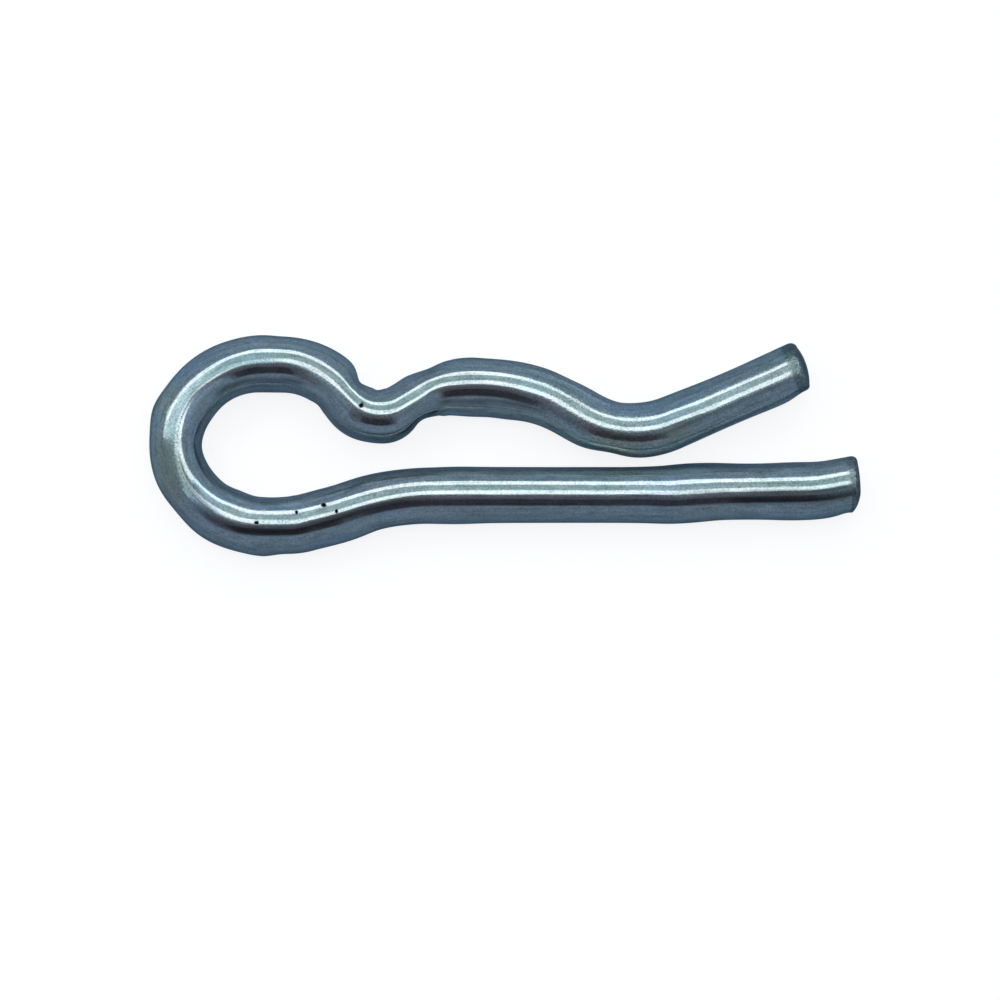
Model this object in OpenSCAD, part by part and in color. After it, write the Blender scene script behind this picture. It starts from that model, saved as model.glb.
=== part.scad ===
// Brake pad pin: a spring clip bent from one length of round wire.
// The straight leg runs along +X through the cross hole of the brake pad's pin. The waved arm
// beside it springs over the outside of that pin and holds the clip in.
// The origin is on the pad pin's axis, in the plane that the clip rests on. +Y points from the
// leg to the arm, and +Z runs along the pad pin.

/* [Wire] */
// Diameter of the round spring wire
wire_d = 2; // [1.6:0.05:2.4]
// Radius on the edges of the two cut ends
end_round = 0.35; // [0.1:0.05:0.45]

/* [Pad pin] */
// Diameter of the pad pin that the clip locks
pad_pin_d = 6; // [5:0.1:7.2]
// How far the pad pin springs the arm open
arm_grip = 0.15; // [0:0.05:0.3]

/* [Straight leg] */
// Length of the leg from the pad pin's axis to its tip
leg_l = 14; // [11.5:0.1:17]
// Inner radius of the bend where the leg turns down to the eye
leg_bend_r = 7; // [5:0.1:9]
// Length of the straight slope between that bend and the eye
leg_slope_l = 2; // [1:0.1:3]
// Sideways step in the leg, towards the arm
step_h = 0.12; // [0.05:0.01:0.2]
// Distance from the pad pin's axis to the middle of the step
step_x = 8; // [6:0.1:9.5]
// Inner radius of the two faint bends of the step
step_r = 10; // [5:0.5:14]
// Length of the straight slope between them
step_slope_l = 1; // [0.4:0.1:1.5]
// Inner radius of the bend before the tip
tip_bend_r = 4; // [2:0.1:6]
// Angle by which the tip turns towards the arm
tip_a = 12; // [4:1:15]
// Length of the straight tip after that bend
tip_l = 0.9; // [0.5:0.1:1.5]

/* [Eye] */
// Clear height inside the eye
eye_h = 3.75; // [3.1:0.05:5]
// Depth of the eye's inner floor below the leg's centreline
eye_drop = 0.1; // [0:0.05:0.5]
// Inner radius of the bend where the leg's slope meets the eye's floor
eye_floor_r = 1; // [0.3:0.1:3]
// Length of the straight floor
eye_floor_l = 1.1; // [0.5:0.1:1.6]
// Length of the straight roof
eye_roof_l = 0.9; // [0.4:0.1:1.6]
// Inner radius of the bend from the roof down to the notch
eye_roof_r = 1.8; // [1.2:0.1:2.4]
// Length of the straight slope from that bend to the notch
eye_slope_l = 0.5; // [0.1:0.1:1]

/* [Notch] */
// Height of the notch's underside above the line of the straight leg's top
notch_gap = 0.8; // [0.5:0.05:1.2]
// Inner radius of the notch
notch_r = 0.35; // [0.2:0.05:0.8]
// Length of the straight slope from the notch up to the arch
notch_slope_l = 1; // [0.4:0.1:1.6]

/* [Arch over the pad pin] */
// Inner radius of the arch's tight shoulder beside the notch
shoulder_r = 0.6; // [0.3:0.1:1.5]
// Length of the flat that bears on the pad pin
seat_l = 1.3; // [0.6:0.1:2]
// Inner radius of the arch's long side
crown_r = 5; // [3:0.1:7]
// Length of the straight slope from the arch down to the throat
crown_slope_l = 0.6; // [0.2:0.1:1.4]

/* [Throat and lead-in] */
// Gap between the throat and the straight leg
throat_gap = 0.3; // [0.1:0.05:0.6]
// Inner radius of the throat
throat_r = 2.5; // [1.5:0.1:3.5]
// Angle at which the lead-in rises away from the leg
lead_a = 23; // [15:1:35]
// Length of the straight lead-in
lead_l = 5.15; // [3.5:0.05:6.5]

/* [Hidden] */

// Facets on a full turn of the wire or of a bend
$fn = 64;
// The pieces are joined at this scale, so small that rounded coordinates can't part the end faces
// that they share, and the finished wire is enlarged to full size
join_scale = 0.001;

// A length at that scale
function small(length) = length * join_scale;

// Radius of a bend's centreline, from its inner radius
function centre_r(inner_r) = inner_r + wire_d / 2;

// Two opposite bends and the straight slope between them lift the wire by a given rise. The
// slope's angle follows from the rise, the sum of the two centreline radii and the slope's length.
function slope_a(rise, radii, slope_l) =
  acos((radii - rise) / norm([radii, slope_l])) - atan2(slope_l, radii);

// Length along X that such a pair of bends takes up
function slope_run(a, radii, slope_l) = radii * sin(a) + slope_l * cos(a);

// Heights of the centreline above the leg's own
seat_y = pad_pin_d / 2 - arm_grip + wire_d / 2;
notch_y = wire_d + notch_gap;
throat_y = wire_d + throat_gap;
floor_y = -eye_drop - wire_d / 2;
roof_y = floor_y + eye_h + wire_d;

// Sums of the centreline radii at each pair of opposite bends
leg_radii = centre_r(leg_bend_r) + centre_r(eye_floor_r);
eye_radii = centre_r(eye_roof_r) + centre_r(notch_r);
notch_radii = centre_r(notch_r) + centre_r(shoulder_r);
crown_radii = centre_r(crown_r) + centre_r(throat_r);
step_radii = 2 * centre_r(step_r);

// Slope angles
leg_a = slope_a(-floor_y, leg_radii, leg_slope_l);
eye_a = slope_a(roof_y - notch_y, eye_radii, eye_slope_l);
notch_a = slope_a(seat_y - notch_y, notch_radii, notch_slope_l);
crown_a = slope_a(seat_y - throat_y, crown_radii, crown_slope_l);
step_a = slope_a(step_h, step_radii, step_slope_l);

// Places along X where the leg's straight stretches begin and end
step_run = slope_run(step_a, step_radii, step_slope_l);
roof_x = -seat_l / 2 - slope_run(notch_a, notch_radii, notch_slope_l)
  - slope_run(eye_a, eye_radii, eye_slope_l) - eye_roof_l;
leg_start_x = roof_x + eye_floor_l + slope_run(leg_a, leg_radii, leg_slope_l);
tip_bend_x = leg_l - tip_l * cos(tip_a) - centre_r(tip_bend_r) * sin(tip_a);
tip_y = step_h + centre_r(tip_bend_r) * (1 - cos(tip_a)) + tip_l * sin(tip_a);

// The wire as it is bent, from the leg's tip round to the arm's end. Each row holds a straight
// feed, the centreline radius of the bend after it, and the angle turned (left is positive).
BENDS = [
  [tip_l - end_round, centre_r(tip_bend_r), -tip_a],
  [tip_bend_x - step_x - step_run / 2, centre_r(step_r), step_a],
  [step_slope_l, centre_r(step_r), -step_a],
  [step_x - step_run / 2 - leg_start_x, centre_r(leg_bend_r), leg_a],
  [leg_slope_l, centre_r(eye_floor_r), -leg_a],
  [eye_floor_l, centre_r(eye_h / 2), -180],
  [eye_roof_l, centre_r(eye_roof_r), -eye_a],
  [eye_slope_l, centre_r(notch_r), eye_a + notch_a],
  [notch_slope_l, centre_r(shoulder_r), -notch_a],
  [seat_l, centre_r(crown_r), -crown_a],
  [crown_slope_l, centre_r(throat_r), crown_a + lead_a],
  [lead_l - end_round, 0, 0],
];

// A cut end of the wire, pointing along +X, with its edge rounded
module cut_end() {
  scale(join_scale)
    rotate([0, 90, 0])
      rotate_extrude()
        union() {
          square([wire_d / 2 - end_round, end_round]);
          intersection() {
            translate([wire_d / 2 - end_round, 0])
              circle(r = end_round);
            square([wire_d / 2, end_round]);
          }
        }
}

// A straight stretch along +X
module straight(length) {
  rotate([0, 90, 0])
    cylinder(h = small(length), d = small(wire_d));
}

// A bend that starts at the origin along +X and turns left, or right where the angle is negative
module bend(radius, angle) {
  side = sign(angle);
  translate([0, side * small(radius), 0])
    rotate_extrude(angle = angle, start = -90 * side)
      translate([small(radius), 0])
        circle(d = small(wire_d));
}

// Moves what follows a bend to the frame in which the bend ends
module after_bend(radius, angle) {
  side = sign(angle);
  translate([0, side * small(radius), 0])
    rotate([0, 0, angle])
      translate([0, -side * small(radius), 0])
        children();
}

// The wire from row i of BENDS to the arm's end
module wire_from(i) {
  feed = BENDS[i][0];
  radius = BENDS[i][1];
  angle = BENDS[i][2];
  straight(feed);
  translate([small(feed), 0, 0]) {
    if (i == len(BENDS) - 1) {
      cut_end();
    } else {
      bend(radius, angle);
      after_bend(radius, angle)
        wire_from(i + 1);
    }
  }
}

// The whole clip, from the cut end of its leg
module wire_clip() {
  color([0.62, 0.68, 0.73])
    translate([leg_l, tip_y, wire_d / 2])
      rotate([0, 0, 180 + tip_a])
        scale(1 / join_scale)
          translate([small(end_round), 0, 0]) {
            mirror([1, 0, 0])
              cut_end();
            wire_from(0);
          }
}

wire_clip();
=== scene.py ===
import math

import bpy
import numpy as np
from bpy.props import FloatProperty, FloatVectorProperty, IntProperty, PointerProperty
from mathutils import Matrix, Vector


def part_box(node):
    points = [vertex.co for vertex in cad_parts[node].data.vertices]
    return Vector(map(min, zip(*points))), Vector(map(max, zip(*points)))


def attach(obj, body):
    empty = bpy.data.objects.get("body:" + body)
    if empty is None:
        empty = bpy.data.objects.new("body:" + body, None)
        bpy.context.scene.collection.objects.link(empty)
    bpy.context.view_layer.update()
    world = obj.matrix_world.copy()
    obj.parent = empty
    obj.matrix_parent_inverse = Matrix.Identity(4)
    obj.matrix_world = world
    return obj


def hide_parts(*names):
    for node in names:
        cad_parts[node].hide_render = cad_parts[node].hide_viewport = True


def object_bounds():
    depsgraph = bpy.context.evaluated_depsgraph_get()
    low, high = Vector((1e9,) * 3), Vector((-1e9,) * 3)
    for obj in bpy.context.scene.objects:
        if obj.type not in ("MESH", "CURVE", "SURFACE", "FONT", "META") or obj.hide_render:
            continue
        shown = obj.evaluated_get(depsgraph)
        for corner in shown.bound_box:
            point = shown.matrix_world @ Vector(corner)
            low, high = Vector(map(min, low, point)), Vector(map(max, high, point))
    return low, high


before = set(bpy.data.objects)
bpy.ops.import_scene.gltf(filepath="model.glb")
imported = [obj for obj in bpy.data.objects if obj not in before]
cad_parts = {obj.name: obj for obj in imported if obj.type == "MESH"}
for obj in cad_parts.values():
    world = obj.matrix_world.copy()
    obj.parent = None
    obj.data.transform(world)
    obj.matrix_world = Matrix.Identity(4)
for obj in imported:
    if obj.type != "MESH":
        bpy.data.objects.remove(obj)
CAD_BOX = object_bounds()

bl_info = {
    "name": "Brake Pad Pin",
    "version": (1, 0, 0),
    "blender": (4, 5, 0),
    "location": "3D Viewport > Sidebar > Pad Pin",
    "description": "A spring clip bent from one length of zinc plated wire, on a pale table",
    "category": "Object",
}

MM = 0.001
NODE = "wire_clip"
WIRE_LOW, WIRE_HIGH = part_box(NODE)
# Name of the mesh attribute that holds a point's place on the wire before it was bent: the length
# along it from the leg's cut end, then how far right of and above the centreline, in metres
STRAIGHT = "straight_wire"


# ---------------------------------------------------------------- sizes that a user would change

def length(name, description, mm):
    return FloatProperty(name=name, description=description, default=mm * MM, min=0.0,
                         precision=5, subtype="DISTANCE", unit="LENGTH")


def angle(name, description, degrees):
    return FloatProperty(name=name, description=description, default=math.radians(degrees),
                         subtype="ANGLE", unit="ROTATION")


def share(name, description, value):
    return FloatProperty(name=name, description=description, default=value,
                         min=0.0, max=1.0, subtype="FACTOR")


def colour(name, description, value):
    return FloatVectorProperty(name=name, description=description, default=value, size=3,
                               min=0.0, max=1.0, subtype="COLOR")


class WireSizes(bpy.types.PropertyGroup):
    """The clip's own sizes. The bends that join them follow from these."""

    wire_d: length("Wire diameter", "Diameter of the round spring wire",
                   (WIRE_HIGH.z - WIRE_LOW.z) / MM)
    pad_pin_d: length("Pad pin diameter", "Diameter of the pad pin that the clip locks", 6.0)
    arm_grip: length("Grip", "How far the pad pin springs the arm open", 0.15)

    leg_l: length("Leg length", "From the pad pin's axis to the leg's tip", 14.0)
    leg_bend_r: length("Leg bend", "Inner radius where the leg turns down to the eye", 7.0)
    leg_slope_l: length("Leg slope", "Straight slope between that bend and the eye", 2.0)
    step_h: length("Step", "Sideways step in the leg, towards the arm", 0.12)
    step_x: length("Step place", "From the pad pin's axis to the middle of the step", 8.0)
    step_r: length("Step bend", "Inner radius of the two faint bends of the step", 10.0)
    step_slope_l: length("Step slope", "Straight slope between them", 1.0)
    tip_bend_r: length("Tip bend", "Inner radius of the bend before the tip", 4.0)
    tip_a: angle("Tip angle", "Angle by which the tip turns towards the arm", 12.0)
    tip_l: length("Tip length", "Straight tip after that bend", 0.9)

    eye_h: length("Eye height", "Clear height inside the eye", 3.75)
    eye_drop: length("Eye drop", "Depth of the eye's floor below the leg's centreline", 0.1)
    eye_floor_r: length("Eye floor bend", "Inner radius between the slope and the floor", 1.0)
    eye_floor_l: length("Eye floor", "Straight floor of the eye", 1.1)
    eye_roof_l: length("Eye roof", "Straight roof of the eye", 0.9)
    eye_roof_r: length("Eye roof bend", "Inner radius from the roof down to the notch", 1.8)
    eye_slope_l: length("Eye slope", "Straight slope from that bend to the notch", 0.5)

    notch_gap: length("Notch height", "From the leg's top to the notch's underside", 0.8)
    notch_r: length("Notch bend", "Inner radius of the notch", 0.35)
    notch_slope_l: length("Notch slope", "Straight slope from the notch to the arch", 1.0)
    shoulder_r: length("Shoulder bend", "Inner radius of the arch's tight shoulder", 0.6)
    seat_l: length("Seat", "Flat that bears on the pad pin", 1.3)
    crown_r: length("Crown bend", "Inner radius of the arch's long side", 5.0)
    crown_slope_l: length("Crown slope", "Straight slope from the arch to the throat", 0.6)

    throat_gap: length("Throat", "Gap between the throat and the leg", 0.3)
    throat_r: length("Throat bend", "Inner radius of the throat", 2.5)
    lead_a: angle("Lead-in angle", "Angle at which the lead-in rises from the leg", 23.0)
    lead_l: length("Lead-in", "Straight lead-in", 5.25)


class WireFinish(bpy.types.PropertyGroup):
    """How finely the wire is made, and what its surface is like."""

    sides: IntProperty(name="Sides", description="Facets round the wire", default=100,
                       min=12, max=160)
    station_gap: length("Station gap", "Distance between rings along the wire", 0.06)
    wave_height: length("Waviness", "Height of the slow unevenness left by bending", 0.011)
    seed: FloatProperty(name="Seed", description="Picks another pattern of unevenness",
                        default=4.0)
    zinc: colour("Zinc", "Plating where it is thick and even", (0.315, 0.38, 0.395))
    blue_zinc: colour("Blue zinc", "Plating where its clear film is thicker",
                      (0.275, 0.345, 0.40))
    grey_zinc: colour("Grey zinc", "Plating where it has dulled", (0.32, 0.38, 0.365))
    pit: colour("Pit", "Bare spots where the plating missed", (0.012, 0.012, 0.014))
    roughness: share("Roughness", "Roughness of the bright plating", 0.1)


class StageLook(bpy.types.PropertyGroup):
    """The table, the light and the camera."""

    floor: colour("Floor", "Colour of the table top", (0.24, 0.24, 0.24))
    near_room: colour("Near room", "Light from the room on the camera's lower side",
                      (0.275, 0.34, 0.435))
    far_room: colour("Far room", "Light from the room on the camera's upper side",
                     (0.352, 0.462, 0.583))
    cloth: colour("Cloth", "Tint of the softbox's cloth", (0.78, 0.97, 1.0))
    cloth_power: FloatProperty(name="Softbox cloth", default=0.95, min=0.0,
                               description="Brightness of the softbox's cloth")
    side_power: FloatProperty(name="Softbox side", default=1.75, min=0.0,
                              description="Brightness of the cloth's left side")
    arm_power: FloatProperty(name="Tube arm", default=1.4, min=0.0,
                             description="Brightness of the front tube's dimmer arm")
    fold_power: FloatProperty(name="Cloth fold", default=0.55, min=0.0,
                              description="Brightness of the fold in the softbox's cloth")
    tube_power: FloatProperty(name="Softbox tubes", default=2.75, min=0.0,
                              description="Brightness of the tubes behind the cloth")
    lens: FloatProperty(name="Lens", description="Focal length in millimetres", default=250.0,
                        subtype="DISTANCE_CAMERA")
    view_width: length("View width", "Width of the view at the clip", 35.714)


# ---------------------------------------------------------------- nodes written as expressions

class Value:
    """A number that a socket gives. Arithmetic on it adds Math nodes."""

    def __init__(self, graph, socket):
        self.graph = graph
        self.socket = socket

    def math(self, operation, *others):
        node = self.graph.add("ShaderNodeMath", {"operation": operation},
                              dict(enumerate((self, *others))))
        return Value(self.graph, node.outputs[0])

    def __add__(self, other):
        return self.math("ADD", other)

    __radd__ = __add__

    def __sub__(self, other):
        return self.math("SUBTRACT", other)

    def __rsub__(self, other):
        return (self * -1) + other

    def __mul__(self, other):
        return self.math("MULTIPLY", other)

    __rmul__ = __mul__

    def __truediv__(self, other):
        return self.math("DIVIDE", other)

    def __pow__(self, other):
        return self.math("POWER", other)

    def least(self, other):
        return self.math("MINIMUM", other)

    def most(self, other):
        return self.math("MAXIMUM", other)

    def size(self):
        return self.math("ABSOLUTE")

    def ramp(self, low, high, start=0.0, end=1.0):
        """Goes smoothly from start, where this value is low, to end, where it is high."""
        node = self.graph.add("ShaderNodeMapRange", {"interpolation_type": "SMOOTHSTEP"},
                              {"Value": self, "From Min": low, "From Max": high,
                               "To Min": start, "To Max": end})
        return Value(self.graph, node.outputs[0])


class Graph:
    """A node tree to which nodes are added by type, settings and sockets."""

    def __init__(self, tree):
        self.tree = tree

    def add(self, kind, settings=None, sockets=None):
        node = self.tree.nodes.new(kind)
        for name, value in (settings or {}).items():
            setattr(node, name, value)
        for key, value in (sockets or {}).items():
            self.feed(node.inputs[key], value)
        return node

    def feed(self, socket, value):
        if isinstance(value, Value):
            value = value.socket
        if isinstance(value, bpy.types.NodeSocket):
            self.tree.links.new(value, socket)
        else:
            socket.default_value = value

    def value(self, kind, settings=None, sockets=None):
        return Value(self, self.add(kind, settings, sockets).outputs[0])

    def vector(self, operation, *inputs, output=0):
        return self.add("ShaderNodeVectorMath", {"operation": operation},
                        dict(enumerate(inputs))).outputs[output]

    def scaled(self, vector, factor):
        return self.add("ShaderNodeVectorMath", {"operation": "SCALE"},
                        {"Vector": vector, "Scale": factor}).outputs[0]

    def dot(self, a, b):
        return Value(self, self.vector("DOT_PRODUCT", a, b, output=1))

    def joined(self, x, y, z):
        return self.add("ShaderNodeCombineXYZ", None, {0: x, 1: y, 2: z}).outputs[0]

    def parts(self, vector):
        node = self.add("ShaderNodeSeparateXYZ", None, {0: vector})
        return [Value(self, out) for out in node.outputs]

    def noise(self, vector, scale, detail, seed, roughness=0.5):
        """Noise about 0, from about -1 to 1."""
        fac = self.value("ShaderNodeTexNoise", {"noise_dimensions": "4D"},
                         {"Vector": vector, "W": seed, "Scale": scale, "Detail": detail,
                          "Roughness": roughness})
        return (fac - 0.5) * 2

    def mix(self, factor, a, b):
        node = self.add("ShaderNodeMix", {"data_type": "RGBA"}, {0: factor, 6: a, 7: b})
        return node.outputs[2]


def rgba(colour_value):
    return (*colour_value, 1.0)


# ---------------------------------------------------------------- the bent wire's line

def centre_r(sizes, inner_r):
    return inner_r + sizes.wire_d / 2


def slope_angle(rise, radii, slope_l):
    """Angle of a straight slope between two opposite bends that together rise by a given height."""
    return math.acos((radii - rise) / math.hypot(radii, slope_l)) - math.atan2(slope_l, radii)


def slope_run(a, radii, slope_l):
    """Length along X that such a pair of bends takes up."""
    return radii * math.sin(a) + slope_l * math.cos(a)


def bend_table(s):
    """Rows of straight feed, centreline radius and angle turned, and where the first row starts."""
    half = s.wire_d / 2
    seat_y = s.pad_pin_d / 2 - s.arm_grip + half
    notch_y = s.wire_d + s.notch_gap
    throat_y = s.wire_d + s.throat_gap
    floor_y = -s.eye_drop - half
    roof_y = floor_y + s.eye_h + s.wire_d

    leg_radii = centre_r(s, s.leg_bend_r) + centre_r(s, s.eye_floor_r)
    eye_radii = centre_r(s, s.eye_roof_r) + centre_r(s, s.notch_r)
    notch_radii = centre_r(s, s.notch_r) + centre_r(s, s.shoulder_r)
    crown_radii = centre_r(s, s.crown_r) + centre_r(s, s.throat_r)
    step_radii = 2 * centre_r(s, s.step_r)

    leg_a = slope_angle(-floor_y, leg_radii, s.leg_slope_l)
    eye_a = slope_angle(roof_y - notch_y, eye_radii, s.eye_slope_l)
    notch_a = slope_angle(seat_y - notch_y, notch_radii, s.notch_slope_l)
    crown_a = slope_angle(seat_y - throat_y, crown_radii, s.crown_slope_l)
    step_a = slope_angle(s.step_h, step_radii, s.step_slope_l)

    step_run = slope_run(step_a, step_radii, s.step_slope_l)
    roof_x = (-s.seat_l / 2 - slope_run(notch_a, notch_radii, s.notch_slope_l)
              - slope_run(eye_a, eye_radii, s.eye_slope_l) - s.eye_roof_l)
    leg_start_x = roof_x + s.eye_floor_l + slope_run(leg_a, leg_radii, s.leg_slope_l)
    tip_r = centre_r(s, s.tip_bend_r)
    tip_bend_x = s.leg_l - s.tip_l * math.cos(s.tip_a) - tip_r * math.sin(s.tip_a)
    tip_y = s.step_h + tip_r * (1 - math.cos(s.tip_a)) + s.tip_l * math.sin(s.tip_a)

    rows = [
        (s.tip_l, tip_r, -s.tip_a),
        (tip_bend_x - s.step_x - step_run / 2, centre_r(s, s.step_r), step_a),
        (s.step_slope_l, centre_r(s, s.step_r), -step_a),
        (s.step_x - step_run / 2 - leg_start_x, centre_r(s, s.leg_bend_r), leg_a),
        (s.leg_slope_l, centre_r(s, s.eye_floor_r), -leg_a),
        (s.eye_floor_l, centre_r(s, s.eye_h / 2), -math.pi),
        (s.eye_roof_l, centre_r(s, s.eye_roof_r), -eye_a),
        (s.eye_slope_l, centre_r(s, s.notch_r), eye_a + notch_a),
        (s.notch_slope_l, centre_r(s, s.shoulder_r), -notch_a),
        (s.seat_l, centre_r(s, s.crown_r), -crown_a),
        (s.crown_slope_l, centre_r(s, s.throat_r), crown_a + s.lead_a),
        (s.lead_l, 1.0, 0.0),
    ]
    return rows, (s.leg_l, tip_y, math.pi + s.tip_a)


def wire_length(rows):
    return sum(feed + abs(radius * turn) for feed, radius, turn in rows)


# Slack for rounding, in metres, where a place falls on the joint of two stretches
SLACK = 1e-9


def walk(rows, start, places):
    """Points on the bent centreline at the given lengths along it."""
    x, y, heading = start
    done = 0.0
    points = np.zeros((len(places), 2))
    for feed, radius, turn in rows:
        here = (places >= done - SLACK) & (places <= done + feed + SLACK)
        ahead = places[here] - done
        points[here] = np.c_[x + ahead * math.cos(heading), y + ahead * math.sin(heading)]
        x += feed * math.cos(heading)
        y += feed * math.sin(heading)
        done += feed
        if turn:
            side = math.copysign(1.0, turn)
            centre = (x - side * radius * math.sin(heading), y + side * radius * math.cos(heading))
            arc = abs(radius * turn)
            here = (places > done) & (places <= done + arc + SLACK)
            turned = heading + side * (places[here] - done) / radius
            points[here] = np.c_[centre[0] + side * radius * np.sin(turned),
                                 centre[1] - side * radius * np.cos(turned)]
            heading += turn
            x = centre[0] + side * radius * math.sin(heading)
            y = centre[1] - side * radius * math.cos(heading)
            done += arc
    return points


# Marks that bending left: the place along the wire, how far they spread, and how far the surface
# stands out on the right and the left of the line from the leg's tip, all in millimetres
BENDING_MARKS = [
    (0.6, 0.5, 0.0, -0.06),
    (1.5, 1.3, 0.05, 0.0),
    (2.5, 0.8, 0.02, 0.03),
    (6.2, 1.2, 0.08, 0.05),
    (14.4, 0.9, 0.02, 0.04),
    (16.2, 1.3, -0.03, 0.03),
    (18.2, 0.6, 0.0, 0.03),
    (18.9, 0.9, -0.02, 0.08),
    (19.3, 0.5, 0.03, 0.0),
    (20.25, 0.6, 0.07, 0.0),
    (21.5, 0.5, 0.0, 0.09),
    (22.75, 1.0, 0.14, -0.02),
    (24.2, 0.7, 0.04, -0.10),
    (26.2, 0.9, -0.12, 0.0),
    (27.2, 0.5, -0.02, 0.10),
    (30.9, 0.6, -0.01, 0.06),
    (33.7, 0.4, -0.04, 0.0),
    (34.15, 0.35, 0.0, -0.26),
    (35.0, 0.8, 0.02, -0.08),
    (35.5, 0.4, -0.05, 0.0),
    (36.9, 0.62, -0.30, -0.07),
    (37.9, 0.45, 0.02, -0.20),
    (39.2, 0.6, 0.04, 0.06),
    (40.5, 0.95, 0.10, 0.01),
    (42.4, 0.5, 0.0, -0.035),
    (44.6, 0.6, -0.13, -0.03),
    (49.0, 2.2, -0.06, -0.09),
    (51.6, 0.6, -0.16, 0.0),
]

# How far the wire runs above or below its own plane, in millimetres, at places along it
OUT_OF_PLANE = [
    (0.0, 0.03),
    (9.5, -0.03),
    (12.0, -0.03),
    (24.0, 0.03),
    (25.5, 0.03),
    (29.3, -0.03),
    (33.3, 0.03),
    (38.2, -0.03),
    (45.0, 0.025),
    (52.0, 0.025),
]

# Where bending squeezed the section out of round, as a share by which its right side is lifted
# and its left side lowered, at places along it
SQUEEZE = [
    (0.0, 0.03),
    (1.2, 0.05),
    (2.6, 0.02),
    (3.6, -0.01),
    (5.3, -0.04),
    (6.5, -0.025),
    (7.7, 0.01),
    (14.8, 0.01),
    (17.3, -0.05),
    (18.6, -0.03),
    (20.3, 0.06),
    (21.4, 0.06),
    (22.8, 0.09),
    (24.9, 0.0),
    (26.5, -0.04),
    (27.8, -0.03),
    (29.1, 0.04),
    (31.3, -0.09),
    (33.5, 0.06),
    (35.6, -0.06),
    (37.4, 0.03),
    (39.3, -0.10),
    (41.6, -0.01),
    (43.3, 0.05),
    (45.2, 0.03),
    (46.6, 0.06),
    (48.1, 0.13),
    (50.4, 0.12),
    (52.0, 0.06),
]


class End:
    """How the shears left one end. The face is domed and its edge rounded. It leans, so its right
    side stands further out than its left by a share of the width, and one side is worn back."""

    def __init__(self, edge, dome, lean, worn, reach):
        self.edge = edge * MM
        self.dome = dome * MM
        self.lean = lean
        self.worn = worn / MM
        self.reach = reach * MM

    def rings(self, radius, face_rings=10, edge_rings=9, innermost=0.02):
        """Distances in from the end plane, and each ring's radius as a share of the wire's."""
        flat = radius - self.edge
        shares = np.linspace(innermost, 1.0, face_rings)
        face = np.c_[self.dome * shares ** 2, shares * flat]
        turn = np.linspace(0, math.pi / 2, edge_rings + 1)[1:]
        edge = np.c_[self.dome + self.edge * (1 - np.cos(turn)), flat + self.edge * np.sin(turn)]
        both = np.vstack([face, edge])
        return both[:, 0], both[:, 1] / radius

    def fade(self, distance):
        """How much of the lean and the wear is left at a distance in from the end."""
        return np.clip(1 - distance / self.reach, 0, 1) ** 2


LEG_END = End(edge=0.2, dome=0.05, lean=0.15, worn=0.5, reach=1.2)
ARM_END = End(edge=0.26, dome=0.12, lean=-0.1, worn=0.0, reach=1.0)
# On which side of the middle the leg's end starts to be worn back, as a place to the right
WORN_FROM = -0.25 * MM


def between(places, knots):
    """Smooth values at some places, from level knots of place and value."""
    knot_places, values = np.array(knots).T
    i = np.clip(np.searchsorted(knot_places, places) - 1, 0, len(knots) - 2)
    share_along = (places - knot_places[i]) / (knot_places[i + 1] - knot_places[i])
    eased = np.clip(share_along, 0, 1)
    eased = eased ** 2 * (3 - 2 * eased)
    return values[i] + (values[i + 1] - values[i]) * eased


def wire_line(sizes, finish):
    """The wire's centreline as a line of edges. Its points say what the sweep needs there."""
    rows, start = bend_table(sizes)
    total = wire_length(rows)
    radius = sizes.wire_d / 2
    near, near_share = LEG_END.rings(radius)
    far, far_share = ARM_END.rings(radius)
    count = int((total - near[-1] - far[-1]) / finish.station_gap)
    middle = np.linspace(near[-1], total - far[-1], count + 1)[1:-1]
    places = np.r_[near, middle, (total - far)[::-1]]
    shares = np.r_[near_share, np.ones(len(middle)), far_share[::-1]]
    points = walk(rows, start, places)
    heights = radius + between(places / MM, OUT_OF_PLANE) * MM

    right = np.zeros(len(places))
    left = np.zeros(len(places))
    for place, spread, right_mm, left_mm in BENDING_MARKS:
        bump = np.exp(-((places / MM - place) / spread) ** 2)
        right += right_mm * bump
        left += left_mm * bump
    leg_fade = LEG_END.fade(places)
    arm_fade = ARM_END.fade(total - places)
    lean = ARM_END.lean * arm_fade - LEG_END.lean * leg_fade
    worn = LEG_END.worn * leg_fade - ARM_END.worn * arm_fade

    mesh = bpy.data.meshes.new("wire_line")
    mesh.from_pydata(np.c_[points, heights].tolist(),
                     [(i, i + 1) for i in range(len(points) - 1)], [])
    squeeze = between(places / MM, SQUEEZE)
    for name, values in (("along", places), ("ring_share", shares), ("right_mark", right * MM),
                         ("left_mark", left * MM), ("squeeze", squeeze), ("cut_lean", lean),
                         ("cut_worn", worn)):
        attribute = mesh.attributes.new(name, "FLOAT", "POINT")
        attribute.data.foreach_set("value", values.astype(np.float32))
    return mesh


# The marks push most at the wire's mid height. A higher power keeps them closer to it.
MARK_POWER = 3.0
# How often the slow unevenness repeats in a metre: along the wire and the two ways across it
WAVE_STRETCH = (250.0, 550.0, 550.0)
WAVE_DETAIL = 1.5
# A faint ridge on the arch: between which places along the wire it rises and then fades, half its
# width and its height, all in millimetres
RIDGE_RISE = (40.2, 41.4)
RIDGE_FADE = (43.6, 44.6)
RIDGE_HALF_WIDTH = 0.11
RIDGE_HEIGHT = 0.046
# It lies where the height above the wire's centre is this share of the way left of it, and it
# starts between these distances above and left of the centre, in millimetres
RIDGE_SLOPE = 0.75
RIDGE_START = (0.2, 0.3)


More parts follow.
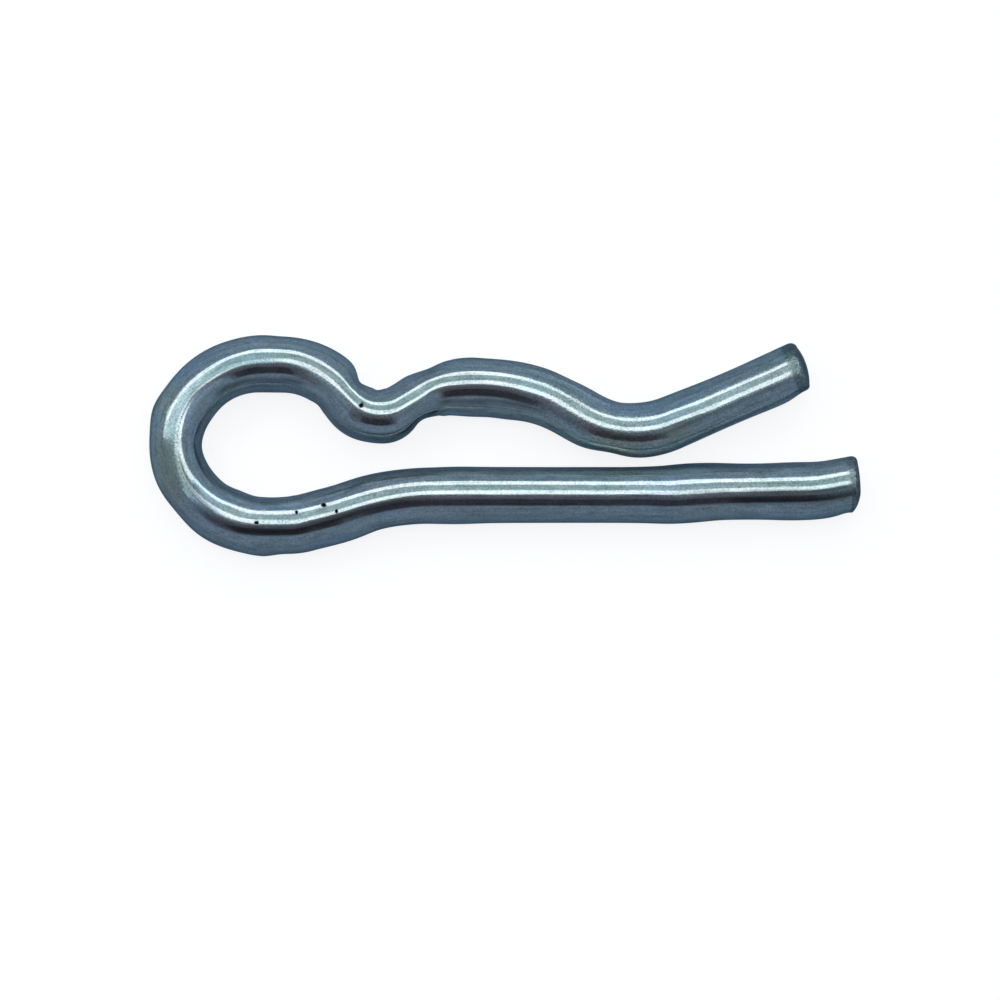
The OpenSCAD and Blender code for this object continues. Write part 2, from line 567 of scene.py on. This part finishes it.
def sweep_tree():
    """Geometry Nodes: a round section swept along a line, with its marks and unevenness."""
    tree = bpy.data.node_groups.new("Bent Wire", "GeometryNodeTree")
    face = tree.interface
    face.new_socket("Line", in_out="INPUT", socket_type="NodeSocketGeometry")
    for name, kind in (("Wire Radius", "NodeSocketFloat"), ("Sides", "NodeSocketInt"),
                       ("Wave Height", "NodeSocketFloat"), ("Seed", "NodeSocketFloat"),
                       ("Material", "NodeSocketMaterial")):
        face.new_socket(name, in_out="INPUT", socket_type=kind)
    face.new_socket("Wire", in_out="OUTPUT", socket_type="NodeSocketGeometry")

    g = Graph(tree)
    given = g.add("NodeGroupInput").outputs
    radius = Value(g, given["Wire Radius"])
    seed = Value(g, given["Seed"])

    def named(name):
        return g.value("GeometryNodeInputNamedAttribute", {"data_type": "FLOAT"}, {"Name": name})

    line = g.add("GeometryNodeMeshToCurve", None, {"Mesh": given["Line"]}).outputs[0]
    line = g.add("GeometryNodeSetCurveNormal", {"mode": "Z_UP"}, {"Curve": line}).outputs[0]
    kept = g.add("GeometryNodeCaptureAttribute")
    kept.capture_items.new("VECTOR", "Centre")
    kept.capture_items.new("VECTOR", "Forward")
    g.feed(kept.inputs["Geometry"], line)
    g.feed(kept.inputs["Centre"], g.add("GeometryNodeInputPosition").outputs[0])
    g.feed(kept.inputs["Forward"], g.add("GeometryNodeInputTangent").outputs[0])
    section = g.add("GeometryNodeCurvePrimitiveCircle", None,
                    {"Resolution": given["Sides"], "Radius": radius}).outputs[0]
    swept = g.add("GeometryNodeCurveToMesh", None,
                  {"Curve": kept.outputs["Geometry"], "Profile Curve": section,
                   "Scale": named("ring_share"), "Fill Caps": True}).outputs[0]

    centre = kept.outputs["Centre"]
    forward = kept.outputs["Forward"]
    up = (0.0, 0.0, 1.0)
    across = g.vector("CROSS_PRODUCT", forward, up)
    spoke = g.vector("SUBTRACT", g.add("GeometryNodeInputPosition").outputs[0], centre)
    rightward = g.dot(spoke, across)
    upward = g.dot(spoke, up)
    along = named("along")
    straight = g.joined(along, rightward, upward)

    # The marks push the right or the left side in or out, most at the wire's mid height
    toward = rightward / radius
    marked = (toward.most(0.0) ** MARK_POWER * named("right_mark")
              + toward.least(0.0) ** MARK_POWER * named("left_mark"))
    worn = (rightward - WORN_FROM).least(0.0) ** 2 * named("cut_worn")
    leaned = rightward * named("cut_lean") + worn

    # Slow unevenness, longer along the wire than round it
    stretched = g.vector("MULTIPLY", straight, WAVE_STRETCH)
    raised = g.noise(stretched, 1.0, WAVE_DETAIL, seed) * given["Wave Height"]

    # A faint ridge along the top outside edge of the arch, where the bending tool let go
    line_off = (upward + rightward * RIDGE_SLOPE).size()
    near, far = (distance * MM for distance in RIDGE_START)
    on_left = rightward.ramp(-far, -near, 1.0, 0.0)
    on_top = upward.ramp(near, far)
    on_arch = (along.ramp(*(place * MM for place in RIDGE_RISE))
               * along.ramp(*(place * MM for place in RIDGE_FADE), 1.0, 0.0))
    ridge = line_off.ramp(0.0, RIDGE_HALF_WIDTH * MM, 1.0, 0.0) * on_left * on_top * on_arch
    raised = raised + ridge * (RIDGE_HEIGHT * MM)

    outward = g.vector("NORMALIZE", spoke)
    moved = g.vector("ADD", g.scaled(across, marked), g.scaled(forward, leaned))
    moved = g.vector("ADD", moved, g.scaled(outward, raised))
    moved = g.vector("ADD", moved, g.joined(0.0, 0.0, rightward * named("squeeze")))
    shaped = g.add("GeometryNodeSetPosition", None,
                   {"Geometry": swept, "Offset": moved}).outputs[0]
    stored = g.add("GeometryNodeStoreNamedAttribute",
                   {"data_type": "FLOAT_VECTOR", "domain": "POINT"},
                   {"Geometry": shaped, "Name": STRAIGHT, "Value": straight}).outputs[0]
    smooth = g.add("GeometryNodeSetShadeSmooth", None, {"Geometry": stored}).outputs[0]
    real = g.add("GeometryNodeRealizeInstances", None, {"Geometry": smooth}).outputs[0]
    done = g.add("GeometryNodeSetMaterial", None,
                 {"Geometry": real, "Material": given["Material"]}).outputs[0]
    g.feed(g.add("NodeGroupOutput").inputs["Wire"], done)
    return tree


# ---------------------------------------------------------------- the plating

# Patterns in the plating: how often each repeats in a millimetre, along the wire and the two ways
# across it where that differs, then on the whole, and then its detail, its seed and its roughness
PATTERNS = {
    "clouds": ((0.35, 0.9, 0.9), 1.0, 3.0, 1.0, 0.5),
    "mottle": (None, 3.2, 2.0, 2.0, 0.6),
    "lines": ((0.22, 12.0, 12.0), 1.0, 1.0, 3.0, 0.5),
    "grain": (None, 10.0, 1.0, 5.0, 0.5),
    "speckle": (None, 17.0, 0.0, 6.0, 0.5),
    "blotches": ((1.6, 4.5, 4.5), 1.0, 3.0, 7.0, 0.65),
    "bloom": ((0.22, 0.5, 0.5), 1.0, 2.0, 8.0, 0.5),
    "tint": ((0.5, 1.1, 1.1), 1.0, 2.0, 9.0, 0.6),
}

# Frosty patches of the plating: the place along the wire, half its length, in millimetres, and
# how strong it is
BLOOMS = [
    (2.0, 2.4, 0.35),
    (27.2, 1.8, 0.5),
    (33.4, 1.0, 0.3),
    (43.6, 2.8, 1.0),
    (49.4, 2.6, 0.5),
]
# The bloom that lies everywhere: between which values of its pattern it rises, and its strength
COMMON_BLOOM = (-0.15, 0.35)
COMMON_BLOOM_STRENGTH = 0.4
# Between which shares of its half length a frosty patch fades
BLOOM_FADE = (0.4, 1.3)

# The cut ends, which are darker, rougher and grainier: how far in from the leg's and the arm's end
# they start and stop fading, in millimetres, and how far the grain frays that edge
LEG_CUT = (0.30, 0.46)
ARM_CUT = (0.56, 0.72)
CUT_FRAY = 0.07

# Where the plating turns from zinc to blue zinc and to grey zinc, and how far it turns grey
BLUE_RISE = (-0.05, 0.45)
GREY_RISE = (0.1, 0.6)
GREY_MOST = 0.7
GREY_LESS_IN_CLOUDS = 0.5

# How much each pattern changes the brightness. Grain is stronger in a bloom and on a cut end.
CLOUDS_SHADE = 0.28
LINES_SHADE = 0.3
BLOTCHES_SHADE = 0.48
GRAIN_SHADE, GRAIN_SHADE_IN_BLOOM, GRAIN_SHADE_ON_END = 0.24, 0.16, 0.3
DARKEST_SHADE = 0.1
END_DARKER = 0.42
# How much the tint, the tarnish and a cut end change red, and how much blue
WARM_TINT, WARM_TARNISH, WARM_END = 0.2, 0.07, -0.06
COOL_TINT, COOL_TARNISH = 0.04, -0.16

# Streaks along the wire: where each starts and ends, how far right it lies, half its width, in
# millimetres, and how much darker it is. Brighter ones are below 0 and are a painted sheen, most of
# them on low flanks that mirror the shadowed floor and the other wire. Darker ones near the middle
# line, where the wire mirrors the dark hood, are painted shade that deepens that mirrored band; the
# others darken the plating in lines.
STREAKS_AND_PAINTED_LIGHT = [
    (0.2, 4.6, -0.30, 0.26, 0.5),
    (0.3, 4.2, 0.02, 0.15, 0.55),
    (4.4, 8.4, 0.0, 0.11, 0.35),
    (2.0, 21.0, 0.80, 0.16, -0.4),
    (16.0, 24.0, -0.18, 0.24, 0.5),
    (23.2, 25.6, 0.08, 0.18, 0.6),
    (24.5, 28.3, 0.76, 0.16, 0.2),
    (25.0, 51.2, -0.86, 0.26, -0.35),
    (26.6, 29.4, 0.20, 0.30, -0.4),
    (27.6, 29.4, -0.06, 0.13, 0.3),
    (28.8, 32.6, 0.57, 0.18, 0.5),
    (35.2, 37.8, 0.70, 0.18, 0.45),
    (37.9, 42.2, 0.53, 0.18, 0.5),
    (38.0, 51.2, 0.92, 0.12, -0.4),
    (46.4, 51.2, 0.29, 0.16, 0.3),
]
# A streak fades over this length on both sides of its start and end, and wavers by this much with
# the drawing lines, in millimetres
STREAK_FADE = 0.5
STREAK_WAVER = 0.04

# Faint yellowish tarnish: the place along the wire, how far right it lies and how far it
# spreads, in millimetres
TARNISH = [
    (25.4, -0.45, 1.5),
    (27.6, -0.75, 0.9),
    (44.8, 0.5, 1.1),
    (46.6, 0.4, 0.9),
]
# Tarnish spreads less across the wire, by this factor on the distance's square, and frays
TARNISH_ACROSS = 6.0
TARNISH_FRAY = 0.4

# Pits in the plating: the place along the wire, how far round it from the top, to the right of
# the line from the leg's tip, in millimetres, and their width
PITS = [
    (19.14, 0.42, 0.24),
    (20.19, 0.445, 0.2),
    (18.78, 0.06, 0.17),
    (21.71, 0.11, 0.18),
    (34.88, -0.18, 0.25),
]
# Between which shares of its width a pit's edge lies, how far the grain frays it, in millimetres,
# and how rough it is
PIT_EDGE = (0.2, 0.6)
PIT_FRAY = 0.05
PIT_ROUGHNESS = 0.9

# How much rougher the plating is in a bloom, on a cut end, in the mottle and on the inner flank,
# which begins between two distances to the right, in millimetres, and how smooth it is at most
ROUGHER_IN_BLOOM = 0.05
ROUGHER_ON_END = 0.2
ROUGHER_IN_MOTTLE = 0.02
ROUGHER_INSIDE = 0.26
INNER_FLANK = (0.66, 0.8)
SMOOTHEST = 0.06

# Heights of the drawing lines, the grain and the speckle, in millimetres: everywhere, then what a
# bloom and what a cut end add
LINES_HEIGHT = 0.0004
GRAIN_HEIGHTS = (0.0002, 0.0008, 0.005)
SPECKLE_HEIGHTS = (0.00014, 0.0007, 0.003)

METALLIC = 0.93
EDGE_TINT = (0.5, 0.55, 0.58)


def zinc_plate(finish, wire_mm):
    """Bright zinc over drawn steel wire of the given length in millimetres."""
    material = bpy.data.materials.new("zinc_plate")
    material.use_nodes = True
    g = Graph(material.node_tree)
    shader = material.node_tree.nodes["Principled BSDF"]
    place = g.add("ShaderNodeAttribute", {"attribute_name": STRAIGHT}).outputs["Vector"]
    wire = g.scaled(place, 1 / MM)  # in millimetres
    along, right = g.parts(wire)[:2]

    def pattern(name):
        stretch, scale, detail, seed, roughness = PATTERNS[name]
        point = g.vector("MULTIPLY", wire, stretch) if stretch else wire
        return g.noise(point, scale, detail, seed, roughness)

    clouds, mottle, lines = pattern("clouds"), pattern("mottle"), pattern("lines")
    grain, speckle = pattern("grain"), pattern("speckle")

    # Where the plating has a frosty bloom, and the cut ends
    bloom = pattern("bloom").ramp(*COMMON_BLOOM) * COMMON_BLOOM_STRENGTH
    for middle, half_length, strength in BLOOMS:
        fade = (half_length * BLOOM_FADE[0], half_length * BLOOM_FADE[1])
        bloom = bloom.most((along - middle).size().ramp(*fade, strength, 0.0))
    frayed = along + grain * CUT_FRAY
    ends = frayed.ramp(*LEG_CUT, 1.0, 0.0).most(
        frayed.ramp(wire_mm - ARM_CUT[1], wire_mm - ARM_CUT[0]))

    zinc = g.mix(clouds.ramp(*BLUE_RISE), rgba(finish.zinc), rgba(finish.blue_zinc))
    greyed = (mottle - clouds * GREY_LESS_IN_CLOUDS).ramp(*GREY_RISE) * GREY_MOST
    zinc = g.mix(greyed, zinc, rgba(finish.grey_zinc))

    # Brightness, with the streaks along the wire, which are partly painted shade and partly painted
    # sheen
    grainy = GRAIN_SHADE + bloom * GRAIN_SHADE_IN_BLOOM + ends * GRAIN_SHADE_ON_END
    shade = (1.0 + clouds * CLOUDS_SHADE + lines * LINES_SHADE
             + pattern("blotches") * BLOTCHES_SHADE + (grain + speckle) * grainy)
    shade = shade.most(DARKEST_SHADE) * (1.0 - ends * END_DARKER)
    for start, end, side, half_width, strength in STREAKS_AND_PAINTED_LIGHT:
        lengthwise = (along.ramp(start - STREAK_FADE, start + STREAK_FADE)
                      * along.ramp(end - STREAK_FADE, end + STREAK_FADE, 1.0, 0.0))
        across = (right + lines * STREAK_WAVER - side).size().ramp(0.0, half_width, 1.0, 0.0)
        shade = shade * (1.0 - lengthwise * across * strength)

    # Colour, with the tarnish and the pits
    tarnish = 0.0
    for middle, side, spread in TARNISH:
        away = (along - middle) ** 2 + (right - side) ** 2 * TARNISH_ACROSS
        tarnish = tarnish + (away + mottle * TARNISH_FRAY).ramp(0.0, spread ** 2, 1.0, 0.0)
    tint = pattern("tint")
    warm = shade * (1.0 + tint * WARM_TINT + tarnish * WARM_TARNISH + ends * WARM_END)
    cool = shade * (1.0 + tint * COOL_TINT + tarnish * COOL_TARNISH)
    zinc = g.vector("MULTIPLY", zinc, g.joined(warm, shade, cool))
    pitted = None
    for middle, side, width in PITS:
        spot = (middle, side, math.sqrt(1.0 - side ** 2))
        away = Value(g, g.vector("DISTANCE", wire, spot, output=1))
        hole = (away + grain * PIT_FRAY).ramp(PIT_EDGE[0] * width, PIT_EDGE[1] * width, 1.0, 0.0)
        pitted = hole if pitted is None else pitted.most(hole)
    g.feed(shader.inputs["Base Color"], g.mix(pitted, zinc, rgba(finish.pit)))

    # The inner flanks, which the draw die's scuffs are left on, are duller
    inner = right.ramp(*INNER_FLANK)
    rough = (finish.roughness + bloom * ROUGHER_IN_BLOOM + ends * ROUGHER_ON_END
             + mottle * ROUGHER_IN_MOTTLE + inner * ROUGHER_INSIDE)
    g.feed(shader.inputs["Roughness"], rough.most(SMOOTHEST).most(pitted * PIT_ROUGHNESS))
    shader.inputs["Metallic"].default_value = METALLIC
    shader.inputs["Specular Tint"].default_value = rgba(EDGE_TINT)

    height = lines * LINES_HEIGHT
    for texture, (everywhere, in_bloom, on_end) in ((grain, GRAIN_HEIGHTS),
                                                    (speckle, SPECKLE_HEIGHTS)):
        height = height + texture * (everywhere + bloom * in_bloom + ends * on_end)
    bump = g.add("ShaderNodeBump", None, {"Strength": 1.0, "Distance": MM, "Height": height})
    g.feed(shader.inputs["Normal"], bump.outputs["Normal"])
    return material


# ---------------------------------------------------------------- the table and the light

FLOOR_SIDE = 6.0
MATT_ROUGHNESS = 0.9
# The room's light turns from near to far between these Y parts of a direction
ROOM_RISE = (-0.6, 0.8)
# What the board lacks to white where the camera sees it, and to the room where the wire mirrors it
FLOOR_LIFT = 0.845
MIRRORED_LIFT = (0.055, 0.115, 0.20)
# The softbox hangs this high over the table. Its parts' places are shares of that height, and so
# is the gap between one layer of it and the next below.
SOFTBOX_H = 0.5
LAYER_GAP = 0.005
CLOTH = [(-0.6, 0.1), (-1.0, 0.5), (-0.8, 1.1), (-0.35, 1.45), (0.1, 1.5), (0.5, 1.35),
         (0.85, 1.0), (0.9, 0.6), (0.5, 0.1), (0.2, -0.05), (0.0, 0.02), (-0.15, 0.03)]
SIDE_CLOTH = [(-0.1, 0.04), (-0.75, 0.09), (-1.5, 0.16), (-1.5, 0.6), (-1.0, 0.95), (-0.6, 1.15),
              (-0.45, 0.75), (-0.3, 0.4), (-0.12, 0.2)]
BACK_TUBE = [(-1.3, 0.3), (-1.25, 0.5), (-0.95, 0.75), (-0.8, 1.05), (-0.5, 1.32), (-0.15, 1.55),
             (0.15, 1.55), (0.5, 1.34), (0.74, 1.06), (0.84, 0.68), (0.72, 0.42), (0.47, 0.1),
             (0.33, -0.05), (0.18, -0.07), (0.1, -0.02), (0.3, 0.18), (0.5, 0.36), (0.62, 0.6),
             (0.48, 0.78), (0.22, 0.9), (-0.2, 0.9), (-0.4, 0.82), (-0.5, 0.6), (-0.8, 0.42),
             (-0.9, 0.3)]
FRONT_TUBE = [(-0.09, 0.1), (-0.1, 0.25), (0.0, 0.32), (0.13, 0.3), (0.15, 0.2), (0.1, 0.03),
              (0.0, 0.03), (-0.05, 0.015), (-0.08, 0.04)]
TUBE_ARM = [(-0.06, 0.03), (-0.05, 0.01), (-0.16, -0.1), (-0.44, -0.3), (-0.47, -0.25),
            (-0.24, -0.09), (-0.1, 0.03)]
CLOTH_FOLD = [(0.13, 0.09), (0.2, 0.09), (0.33, 0.23), (0.42, 0.42), (0.3, 0.36), (0.17, 0.24)]
HOOD = [(-0.04, 0.02), (0.045, 0.025), (0.065, -0.1), (0.095, -0.3), (0.14, -0.5), (0.24, -0.85),
        (0.2, -0.96), (-0.36, -0.96), (-0.26, -0.6), (-0.12, -0.3), (-0.08, -0.12)]
# The hood's two lowest layers, at the camera's side of it
HOOD_RIM = [(-0.04, 0.02), (0.045, 0.025), (0.065, -0.1), (0.07, -0.14), (-0.085, -0.14)]
HOOD_SHADE = [(-0.085, -0.14), (0.07, -0.14), (0.095, -0.3), (0.1, -0.34), (-0.14, -0.34)]
SKIRT = [(0.0, 0.0), (-0.04, 0.0), (-0.11, -0.11), (-0.28, -0.34), (-0.6, -0.75), (-0.62, -1.08),
         (0.4, -1.08), (0.2, -0.5), (0.12, -0.3), (0.06, -0.1)]
TUBE_LIGHT = (1.0, 1.0, 1.0)
HOOD_CLOTH = (0.26, 0.11, 0.16)
SKIRT_LIGHT = (0.17, 0.17, 0.215)
HOOD_SHADE_LIGHT = (0.15, 0.13, 0.165)
HOOD_RIM_LIGHT = (0.235, 0.22, 0.255)

# The middle of the view, and the camera's own measures, in metres but for the sensor's millimetres
VIEW_MIDDLE = (1.139 * MM, -0.179 * MM)
SENSOR_WIDTH = 36.0
CLIP_START, CLIP_END = 0.01, 20.0


def glow(name, colour_value, power=1.0):
    material = bpy.data.materials.new(name)
    material.use_nodes = True
    nodes = material.node_tree.nodes
    nodes.clear()
    g = Graph(material.node_tree)
    light = g.add("ShaderNodeEmission", None, {"Color": rgba(colour_value), "Strength": power})
    g.feed(g.add("ShaderNodeOutputMaterial").inputs["Surface"], light.outputs[0])
    return material


def matt(name, colour_value):
    material = bpy.data.materials.new(name)
    material.use_nodes = True
    shader = material.node_tree.nodes["Principled BSDF"]
    shader.inputs["Base Color"].default_value = rgba(colour_value)
    shader.inputs["Roughness"].default_value = MATT_ROUGHNESS
    return material


def table_top(look):
    """Matt pale board. It glows white for the camera, but for the object's shadow, and the wire
    mirrors it as the room lights it."""
    material = bpy.data.materials.new("pale_board")
    material.use_nodes = True
    nodes = material.node_tree.nodes
    nodes.clear()
    g = Graph(material.node_tree)
    ray = g.add("ShaderNodeLightPath").outputs
    seen = Value(g, ray["Is Camera Ray"]).most(Value(g, ray["Is Transmission Ray"]))
    board = g.add("ShaderNodeBsdfDiffuse", None, {"Color": rgba(look.floor)}).outputs[0]

    def lifted(factor, amount, under):
        glowing = g.add("ShaderNodeEmission", None, {"Color": rgba(amount)}).outputs[0]
        both = g.add("ShaderNodeAddShader", None, {0: board, 1: glowing}).outputs[0]
        return g.add("ShaderNodeMixShader", None, {0: factor, 1: under, 2: both}).outputs[0]

    mirrored = lifted(ray["Is Glossy Ray"], MIRRORED_LIFT, board)
    surface = lifted(seen, (FLOOR_LIFT,) * 3, mirrored)
    g.feed(g.add("ShaderNodeOutputMaterial").inputs["Surface"], surface)
    return material


def room_light(look):
    """Even light from the room, a little brighter from its far side."""
    world = bpy.data.worlds.new("room")
    world.use_nodes = True
    g = Graph(world.node_tree)
    direction = g.add("ShaderNodeTexCoord").outputs["Object"]
    far = g.parts(direction)[1].ramp(*ROOM_RISE)
    g.feed(world.node_tree.nodes["Background"].inputs["Color"],
           g.mix(far, rgba(look.near_room), rgba(look.far_room)))
    return world


def staged(name, vertices, faces, material, seen=False):
    """A flat piece of the set, which the camera doesn't see unless it says so."""
    mesh = bpy.data.meshes.new(name)
    mesh.from_pydata(vertices, [], faces)
    mesh.materials.append(material)
    piece = bpy.data.objects.new(name, mesh)
    bpy.context.scene.collection.objects.link(piece)
    piece.visible_camera = seen


def panel(name, outline, layer, material):
    """A flat part of the softbox, in a layer counted from the top."""
    height = SOFTBOX_H * (1 - layer * LAYER_GAP)
    corners = [(x * height, y * height, height) for x, y in outline]
    staged(name, corners, [tuple(range(len(corners)))], material)


# ---------------------------------------------------------------- operators

class PADPIN_OT_wire(bpy.types.Operator):
    """Bend the wire and plate it"""

    bl_idname = "padpin.wire"
    bl_label = "Bend the Wire"

    def execute(self, context):
        sizes = context.scene.pad_pin_sizes
        finish = context.scene.pad_pin_finish
        material = zinc_plate(finish, wire_length(bend_table(sizes)[0]) / MM)
        line = bpy.data.objects.new("wire_line", wire_line(sizes, finish))
        context.scene.collection.objects.link(line)
        tree = sweep_tree()
        modifier = line.modifiers.new("Bent Wire", "NODES")
        modifier.node_group = tree
        settings = {
            "Wire Radius": sizes.wire_d / 2,
            "Sides": finish.sides,
            "Wave Height": finish.wave_height,
            "Seed": finish.seed,
            "Material": material,
        }
        for item in tree.interface.items_tree:
            if item.in_out == "INPUT" and item.name in settings:
                modifier[item.identifier] = settings[item.name]
        context.view_layer.update()
        evaluated = line.evaluated_get(context.evaluated_depsgraph_get())
        mesh = bpy.data.meshes.new_from_object(evaluated)
        if not mesh.polygons:
            raise RuntimeError("the wire has no faces")
        line.modifiers.remove(modifier)
        bpy.data.objects.remove(line)
        wire = bpy.data.objects.new("bent_wire", mesh)
        context.scene.collection.objects.link(wire)
        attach(wire, "root")
        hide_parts(NODE)
        return {"FINISHED"}


class PADPIN_OT_stage(bpy.types.Operator):
    """Set the table, the softbox and the camera"""

    bl_idname = "padpin.stage"
    bl_label = "Set the Stage"

    def execute(self, context):
        scene = context.scene
        look = scene.pad_pin_look
        half = FLOOR_SIDE / 2
        staged("floor", [(-half, -half, 0), (half, -half, 0), (half, half, 0), (-half, half, 0)],
               [(0, 1, 2, 3)], table_top(look), seen=True)

        tube = glow("softbox_tube", TUBE_LIGHT, look.tube_power)
        cloth = glow("softbox_cloth", look.cloth, look.cloth_power)
        for name, outline, layer, material in (
            ("softbox_cloth", CLOTH, 0, cloth),
            ("side_cloth", SIDE_CLOTH, 1, glow("side_cloth", look.cloth, look.side_power)),
            ("back_tube", BACK_TUBE, 2, tube),
            ("front_tube", FRONT_TUBE, 2, tube),
            ("tube_arm", TUBE_ARM, 2, glow("tube_arm", look.cloth, look.arm_power)),
            ("cloth_fold", CLOTH_FOLD, 1, glow("cloth_fold", look.cloth, look.fold_power)),
            ("hood_skirt", SKIRT, 3, glow("skirt_cloth", SKIRT_LIGHT)),
            ("camera_hood", HOOD, 4, matt("hood_cloth", HOOD_CLOTH)),
            ("hood_shade", HOOD_SHADE, 5, glow("hood_shade", HOOD_SHADE_LIGHT)),
            ("hood_rim", HOOD_RIM, 5, glow("hood_rim", HOOD_RIM_LIGHT)),
        ):
            panel(name, outline, layer, material)
        scene.world = room_light(look)

        low, high = CAD_BOX
        camera = bpy.data.cameras.new("camera")
        camera.lens = look.lens
        camera.sensor_width = SENSOR_WIDTH
        camera.clip_start = CLIP_START
        camera.clip_end = CLIP_END
        holder = bpy.data.objects.new("camera", camera)
        scene.collection.objects.link(holder)
        away = look.view_width * look.lens / camera.sensor_width
        holder.location = (*VIEW_MIDDLE, (low.z + high.z) / 2 + away)
        scene.camera = holder

        scene.view_settings.view_transform = "Standard"
        return {"FINISHED"}


class PADPIN_PT_panel(bpy.types.Panel):
    """Sizes, finish and stage of the brake pad pin"""

    bl_idname = "PADPIN_PT_panel"
    bl_label = "Brake Pad Pin"
    bl_space_type = "VIEW_3D"
    bl_region_type = "UI"
    bl_category = "Pad Pin"

    def draw(self, context):
        layout = self.layout
        scene = context.scene
        for title, group, operator in (
            ("Wire", scene.pad_pin_sizes, None),
            ("Finish", scene.pad_pin_finish, PADPIN_OT_wire.bl_idname),
            ("Stage", scene.pad_pin_look, PADPIN_OT_stage.bl_idname),
        ):
            box = layout.box()
            box.label(text=title)
            for name in group.bl_rna.properties.keys():
                if name not in {"rna_type", "name"}:
                    box.prop(group, name)
            if operator:
                box.operator(operator)


CLASSES = (WireSizes, WireFinish, StageLook, PADPIN_OT_wire, PADPIN_OT_stage, PADPIN_PT_panel)


def register():
    for cls in CLASSES:
        bpy.utils.register_class(cls)
    bpy.types.Scene.pad_pin_sizes = PointerProperty(type=WireSizes)
    bpy.types.Scene.pad_pin_finish = PointerProperty(type=WireFinish)
    bpy.types.Scene.pad_pin_look = PointerProperty(type=StageLook)


def unregister():
    del bpy.types.Scene.pad_pin_look
    del bpy.types.Scene.pad_pin_finish
    del bpy.types.Scene.pad_pin_sizes
    for cls in reversed(CLASSES):
        bpy.utils.unregister_class(cls)


def main():
    register()
    bpy.ops.padpin.wire()
    bpy.ops.padpin.stage()


if __name__ == "__main__":
    main()
